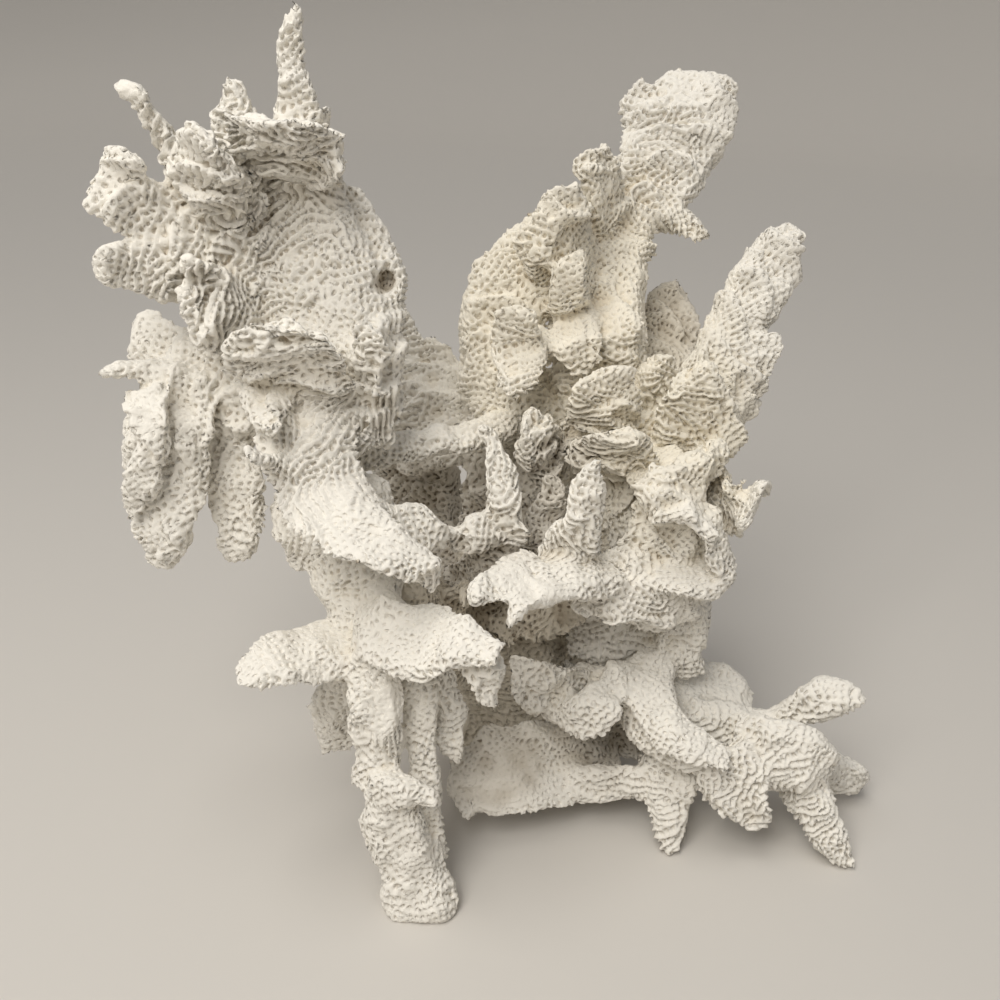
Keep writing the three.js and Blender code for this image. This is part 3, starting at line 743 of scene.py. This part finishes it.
def parted(piece):
    """Parts a large mesh across the middle of its longest side, and gives both pieces."""
    mesh = piece.data
    middles = np.empty(len(mesh.polygons) * 3, np.float32)
    mesh.polygons.foreach_get("center", middles)
    middles = middles.reshape(-1, 3)
    axis = int(np.ptp(middles, axis=0).argmax())
    mesh.polygons.foreach_set("select", middles[:, axis] > np.median(middles[:, axis]))
    others = set(bpy.context.scene.objects)
    select_only(piece)
    bpy.ops.object.mode_set(mode="EDIT")
    bpy.ops.mesh.select_mode(type="FACE")
    bpy.ops.mesh.separate(type="SELECTED")
    bpy.ops.object.mode_set(mode="OBJECT")
    rest = [o for o in bpy.context.scene.objects if o not in others]
    for i, part in enumerate(rest):
        part.name = f"{piece.name}_{i + 2}"
    return [piece, *rest]


class Nodes:
    """A material's nodes, written as sums: each value is a socket that can be added and mixed."""

    def __init__(self, name, roughness):
        self.material = bpy.data.materials.new(name)
        self.material.use_nodes = True
        self.tree = self.material.node_tree
        self.shader = self.tree.nodes["Principled BSDF"]
        self.shader.inputs["Roughness"].default_value = roughness

    def node(self, kind, result, inputs=(), **settings):
        made = self.tree.nodes.new(kind)
        for name, value in settings.items():
            setattr(made, name, value)
        for name, value in dict(inputs).items():
            if isinstance(value, Value):
                self.tree.links.new(value.socket, made.inputs[name])
            else:
                made.inputs[name].default_value = value
        return Value(self, made.outputs[result])

    def attribute(self, name, result="Fac"):
        """A value that is stored on the mesh."""
        return self.node(
            "ShaderNodeAttribute", result, attribute_name=name, attribute_type="GEOMETRY"
        )

    def feed(self, name, value):
        self.tree.links.new(value.socket, self.shader.inputs[name])


class Value:
    def __init__(self, nodes, socket):
        self.nodes = nodes
        self.socket = socket

    def math(self, kind, *others, flip=False):
        terms = [self, *others]
        if flip:
            terms.reverse()
        return self.nodes.node(
            "ShaderNodeMath", "Value", dict(enumerate(terms)), operation=kind
        )

    def __add__(self, other):
        return self.math("ADD", other)

    def __radd__(self, other):
        return self.math("ADD", other)

    def __mul__(self, other):
        return self.math("MULTIPLY", other)

    def __rmul__(self, other):
        return self.math("MULTIPLY", other)

    def __sub__(self, other):
        return self.math("SUBTRACT", other)

    def __rsub__(self, other):
        return self.math("SUBTRACT", other, flip=True)

    def clamped(self):
        return self.math("MAXIMUM", 0.0).math("MINIMUM", 1.0)

    def part(self, axis):
        """One number of a vector: X, Y or Z."""
        return self.nodes.node("ShaderNodeSeparateXYZ", axis, {"Vector": self})

    def mix(self, low, high):
        """A colour between low and high, with this value as the share of high."""
        mixed = self.nodes.tree.nodes.new("ShaderNodeMix")
        mixed.data_type = "RGBA"
        self.nodes.tree.links.new(self.socket, mixed.inputs[0])
        for socket, colour in ((mixed.inputs[6], low), (mixed.inputs[7], high)):
            if isinstance(colour, Value):
                self.nodes.tree.links.new(colour.socket, socket)
            else:
                socket.default_value = (*colour, 1)
        return Value(self.nodes, mixed.outputs[2])


def coral_material(name, crest, body, pit):
    """Chalky crests, warmer flanks and brown in the bottom of the cups, where pits and hollows are
    darkened as painted shade, and grey where the skin is old and where cavities are darkened as painted
    shade.
    """
    nodes = Nodes(name, CORAL_ROUGHNESS)
    nodes.shader.inputs["Specular IOR Level"].default_value = CORAL_SHINE
    place = nodes.node("ShaderNodeTexCoord", "Object")
    patch = nodes.node("ShaderNodeTexNoise", "Fac", {"Vector": place, **PATCH_NOISE})
    grain = nodes.node("ShaderNodeTexNoise", "Fac", {"Vector": place, **GRAIN_NOISE})
    bent = nodes.node("ShaderNodeTexNoise", "Color", {"Vector": place, **BENDING_NOISE})
    bent = nodes.node(
        "ShaderNodeVectorMath",
        "Vector",
        {0: bent, 1: (PIT_BENDING, PIT_BENDING, PIT_BENDING), 2: place},
        operation="MULTIPLY_ADD",
    )
    cell = nodes.node(
        "ShaderNodeTexVoronoi",
        "Distance",
        {"Vector": bent, "Scale": PITS_PER_METRE},
        feature="F1",
    )
    skin = nodes.attribute("skin", "Vector")
    age_and_shade = nodes.attribute("age_and_shade", "Vector")
    warmth = nodes.attribute("warmth")
    bare = nodes.attribute("bare")
    row, cup, meshing = skin.part("X"), skin.part("Y"), skin.part("Z")
    stain_and_shade, worn, hollow = age_and_shade.part("X"), age_and_shade.part("Y"), age_and_shade.part("Z")

    cup_pit = ((1 - row) * (1 - meshing * cup) * CUP_PIT_GAIN - CUP_PIT_START).clamped()
    cup_pit = cup_pit * (CUP_PIT_BASE + grain * CUP_PIT_GRAIN)
    small_pit = ((SMALL_PIT_RADIUS - cell) * SMALL_PIT_GAIN).clamped()
    calm = 1 - (worn * CALM_WHERE_WORN + bare * CALM_WHERE_BARE).clamped()
    pitted = (cup_pit + small_pit * SMALL_PIT_SHARE).clamped() * calm
    relief = row * (1 - meshing) * RIDGE_BUMP - pitted

    # Painted shade: the flanks' darker colour and the brown are laid into pits and hollows
    flank = pitted * FLANK_PITS + hollow * FLANK_HOLLOWS
    flank = (flank + (patch - PATCH_MIDDLE) * FLANK_PATCHES - FLANK_START).clamped()
    base = flank.mix(warmth.mix(crest, WARM_CHALK), warmth.mix(body, STRAW))
    pit_shade = pitted * (PIT_SHADE_BASE + hollow * PIT_SHADE_HOLLOWS + patch * PIT_SHADE_PATCHES)
    base = pit_shade.clamped().mix(base, pit)
    # Grey of old, stained skin, and painted shade in cavities, in the hole's bottom and on shaded plates
    aged_and_shaded = (stain_and_shade * (AGED_AND_SHADED_BASE + pitted * AGED_AND_SHADED_PITS) * (AGED_AND_SHADED_BASE + patch)).clamped()
    base = (aged_and_shaded * MOST_AGED_AND_SHADED).mix(base, OLD_AND_SHADED_GREY)
    base = (stain_and_shade * pitted * OLD_AND_SHADED_PITS).clamped().mix(base, OLD_AND_SHADED_PIT)
    nodes.feed("Base Color", base)
    walls = nodes.node("ShaderNodeBump", "Normal", {"Height": relief, **WALL_BUMP})
    rough = nodes.node(
        "ShaderNodeBump", "Normal", {"Height": grain, "Normal": walls, **GRAIN_BUMP}
    )
    nodes.feed("Normal", rough)
    return nodes.material


def make_branches():
    """Dresses every branch: rounded, ruffled, carved and coloured."""
    white = coral_material("bleached_coral", CHALK, CREAM, PIT_SHADE_BROWN)
    # The aged material is old skin and painted shade at once: the core lies deep in shade between the
    # branches
    grey = coral_material("aged_coral", CREAM, OLD_AND_SHADED_GREY, OLD_AND_SHADED_PIT)
    skins = {n: merged_copy(frame["nodes"][n], n + "_skin") for n in BRANCHES}
    untouched = {n: merged_copy(frame["nodes"][n], n + "_as_cut") for n in BRANCHES}
    for i, name in enumerate(BRANCHES):
        piece = skins[name]
        seed = FIRST_BRANCH_SEED + BRANCH_SEED_STEP * i
        grid = COARSE_GRID if name in COARSE_BRANCHES else FINE_GRID
        sink_seams(piece, [untouched[n] for n in BRANCHES[:i]])
        modify(piece, "REMESH", mode="VOXEL", voxel_size=grid * MM)
        modify(piece, "SMOOTH", factor=ROUNDING, iterations=ROUNDING_STEPS)
        find_rims(piece)
        ruffle(piece, seed, name in LEDGED_BRANCHES)
        modify(piece, "SUBSURF", levels=1, subdivision_type="CATMULL_CLARK")
        carve_skin(piece, seed)
        select_only(piece)
        bpy.ops.object.shade_smooth()
        piece.data.materials.clear()
        piece.data.materials.append(grey if name == "core" else white)
        for part in parted(piece) if name in PARTED_BRANCHES else [piece]:
            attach(part, "root")
            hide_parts(name)
            print(part.name, len(part.data.polygons) * 2, "triangles")
    for piece in untouched.values():
        bpy.data.objects.remove(piece)


def make_floor():
    """A round pale floor that sweeps up into a plain wall, far from the coral on all sides."""
    bpy.ops.mesh.primitive_cylinder_add(
        vertices=STUDIO_SIDES,
        radius=STUDIO_RADIUS,
        depth=STUDIO_HEIGHT,
        location=(0, 0, STUDIO_HEIGHT / 2),
    )
    floor = bpy.context.object
    floor.name = "floor"
    bpy.ops.object.transform_apply()
    bpy.ops.object.mode_set(mode="EDIT")
    bpy.ops.mesh.select_mode(type="FACE")
    bpy.ops.mesh.select_all(action="DESELECT")
    bpy.ops.object.mode_set(mode="OBJECT")
    for face in floor.data.polygons:
        face.select = face.normal.z > 0.5
    bpy.ops.object.mode_set(mode="EDIT")
    bpy.ops.mesh.delete(type="FACE")
    bpy.ops.mesh.select_all(action="SELECT")
    bpy.ops.mesh.flip_normals()
    bpy.ops.object.mode_set(mode="OBJECT")
    modify(floor, "BEVEL", width=STUDIO_SWEEP, segments=SWEEP_STEPS, limit_method="ANGLE")
    bpy.ops.object.shade_smooth_by_angle(angle=FLOOR_EDGE)
    pale = Nodes("pale_floor", FLOOR_ROUGHNESS)
    pale.shader.inputs["Base Color"].default_value = (*FLOOR_PALE, 1)
    floor.data.materials.append(pale.material)


def add_light(name, kind, energy):
    light = bpy.data.lights.new(name, kind)
    light.energy = energy
    light.color = LAMP_COLOUR
    holder = bpy.data.objects.new(name, light)
    bpy.context.scene.collection.objects.link(holder)
    return holder


def aim(holder, way):
    holder.rotation_euler = way.to_track_quat("-Z", "Y").to_euler()


def make_light():
    """A wide lamp above, a soft panel in front and to the left, and an even sky."""
    world = bpy.data.worlds.new("room")
    bpy.context.scene.world = world
    world.use_nodes = True
    sky = world.node_tree.nodes["Background"]
    sky.inputs["Color"].default_value = SKY_COLOUR
    sky.inputs["Strength"].default_value = SKY_STRENGTH
    lamp = add_light("ceiling", "SUN", LAMP_ENERGY)
    lamp.data.angle = LAMP_WIDTH
    aim(lamp, -Vector(LAMP_FROM))
    panel = add_light("panel", "AREA", PANEL_POWER)
    panel.data.size = PANEL_SIZE
    panel.location = PANEL_AT
    aim(panel, Vector(ROOT) * MM - Vector(PANEL_AT))


def make_camera():
    lens = bpy.data.cameras.new("camera")
    lens.lens = CAMERA_LENS
    lens.sensor_width = SENSOR_WIDTH
    lens.clip_start = NEAREST_SEEN * MM
    camera = bpy.data.objects.new("camera", lens)
    bpy.context.scene.collection.objects.link(camera)
    turn = Matrix.Rotation(math.pi / 2 - CAMERA_PITCH, 4, "X")
    roll = Matrix.Rotation(CAMERA_ROLL, 4, "Z")
    camera.matrix_world = Matrix.Translation(CAMERA_AT) @ turn @ roll
    bpy.context.scene.camera = camera


make_branches()
make_floor()
make_light()
make_camera()
bpy.context.scene.view_settings.view_transform = "Standard"
bpy.context.view_layer.update()
